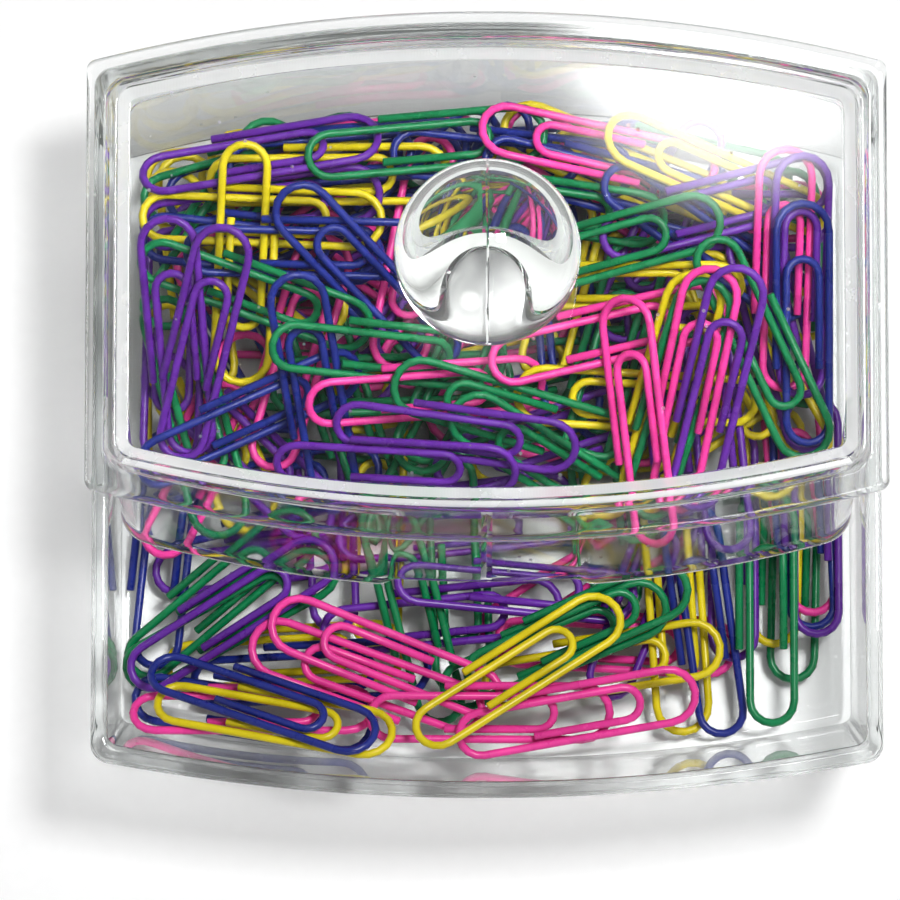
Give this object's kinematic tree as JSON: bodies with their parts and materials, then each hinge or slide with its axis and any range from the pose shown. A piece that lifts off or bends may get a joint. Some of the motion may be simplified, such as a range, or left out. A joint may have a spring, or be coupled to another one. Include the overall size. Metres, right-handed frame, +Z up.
{
  "type": "magnetic paper clip holder",
  "caption": "Clear acrylic desk tray with leaning bowed ends and a lift-off framed cover with a ball knob; a pin magnet under the knob holds coated wire paper clips.",
  "frame": {"origin": "under the middle of the whole holder, on the surface it stands on", "axes": "+X to the right along the width, +Y to the back under the cover, +Z up; the open front faces -Y"},
  "size_m": [0.1052, 0.1038, 0.0578],
  "materials": {
    "tray_acrylic": "clear moulded acrylic",
    "lid_acrylic": "clear moulded acrylic",
    "knob_acrylic": "clear polished acrylic",
    "magnet_nickel": "nickel plated",
    "clip_yellow": "vinyl coated steel wire",
    "clip_pink": "vinyl coated steel wire",
    "clip_purple": "vinyl coated steel wire",
    "clip_blue": "vinyl coated steel wire",
    "clip_green": "vinyl coated steel wire"
  },
  "bodies": {
    "tray_body": {"tray": "tray_acrylic", "clip_green": "clip_green", "clip_yellow": "clip_yellow", "clip_pink": "clip_pink", "clip_purple": "clip_purple", "clip_blue": "clip_blue", "clip_green_2": "clip_green", "clip_yellow_2": "clip_yellow", "clip_pink_2": "clip_pink", "clip_purple_2": "clip_purple", "clip_blue_2": "clip_blue", "clip_green_3": "clip_green"},
    "cover_body": {"lid": "lid_acrylic", "ball_knob": "knob_acrylic", "knob_magnet": "magnet_nickel"}
  },
  "joints": [
    {"name": "lid_lift", "type": "slide", "parent": "tray_body", "child": "cover_body", "axis": [0, 0, 1], "range_m": [0, 0.06]}
  ]
}
